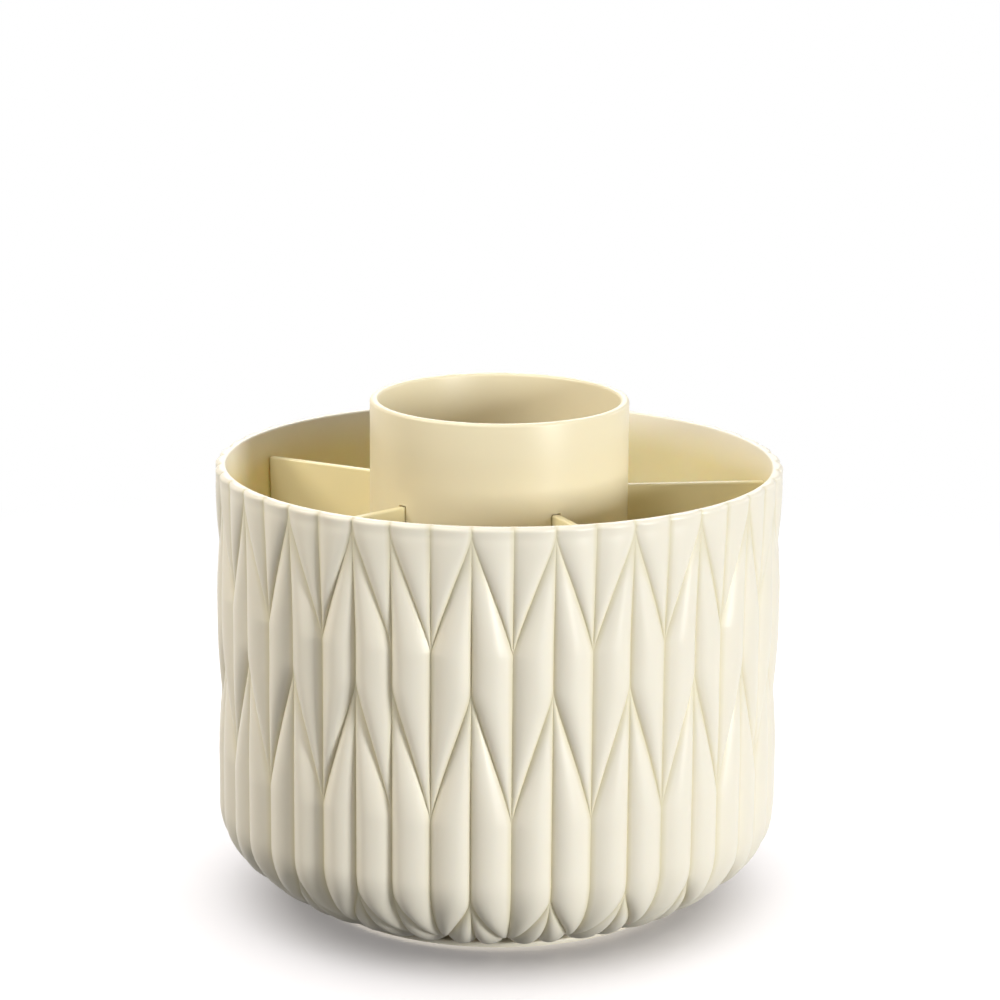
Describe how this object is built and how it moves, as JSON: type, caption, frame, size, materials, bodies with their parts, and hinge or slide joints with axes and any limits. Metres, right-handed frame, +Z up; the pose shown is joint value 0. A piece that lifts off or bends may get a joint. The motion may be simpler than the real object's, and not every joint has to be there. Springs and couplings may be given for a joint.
{
  "type": "rotating makeup brush holder",
  "caption": "Round ivory cup with a moulded leaf relief, radial dividers and a tall central tube, turning on a ball race over a plain round base.",
  "frame": {"origin": "on the turning axis at table height, where the rubber feet rest", "axes": "+Z up along the turning axis, -Y towards the viewer of the picture, +X to the viewer's right"},
  "size_m": [0.1448, 0.1446, 0.1311],
  "materials": {
    "ivory_shell": "satin moulded ivory plastic",
    "ivory_insert": "satin moulded ivory plastic",
    "ivory_base": "fine matt moulded ivory plastic",
    "white_plastic": "matt white plastic",
    "natural_nylon": "natural nylon",
    "polished_steel": "polished bearing steel",
    "zinc_screw": "zinc plated steel",
    "grey_rubber": "matt dark grey rubber"
  },
  "bodies": {
    "base": {"base_plate": "ivory_base", "rubber_foot_1": "grey_rubber", "rubber_foot_2": "grey_rubber", "rubber_foot_3": "grey_rubber", "rubber_foot_4": "grey_rubber"},
    "ball_race": {"ball_cage": "natural_nylon", "bearing_ball_01": "polished_steel", "bearing_ball_02": "polished_steel", "bearing_ball_03": "polished_steel", "bearing_ball_04": "polished_steel", "bearing_ball_05": "polished_steel", "bearing_ball_06": "polished_steel", "bearing_ball_07": "polished_steel", "bearing_ball_08": "polished_steel", "bearing_ball_09": "polished_steel", "bearing_ball_10": "polished_steel", "bearing_ball_11": "polished_steel", "bearing_ball_12": "polished_steel"},
    "cup": {"outer_shell": "ivory_shell", "centre_tube": "ivory_insert", "divider_panel_1": "ivory_insert", "divider_panel_2": "ivory_insert", "divider_panel_3": "ivory_insert", "divider_panel_4": "ivory_insert", "divider_panel_5": "ivory_insert", "turntable_plate": "white_plastic", "pivot_screw": "zinc_screw", "pivot_washer": "zinc_screw", "plate_screw_1": "zinc_screw", "plate_screw_2": "zinc_screw", "plate_screw_3": "zinc_screw"}
  },
  "joints": [
    {"name": "cup_spin", "type": "hinge", "parent": "base", "child": "cup", "pos_m": [0, 0, 0.0062], "axis": [0, 0, 1], "continuous": true},
    {"name": "cage_spin", "type": "hinge", "parent": "base", "child": "ball_race", "pos_m": [0, 0, 0.0047], "axis": [0, 0, 1], "continuous": true}
  ],
  "couplings": [
    {"joint": "cage_spin", "follows": "cup_spin", "ratio": 0.5}
  ]
}
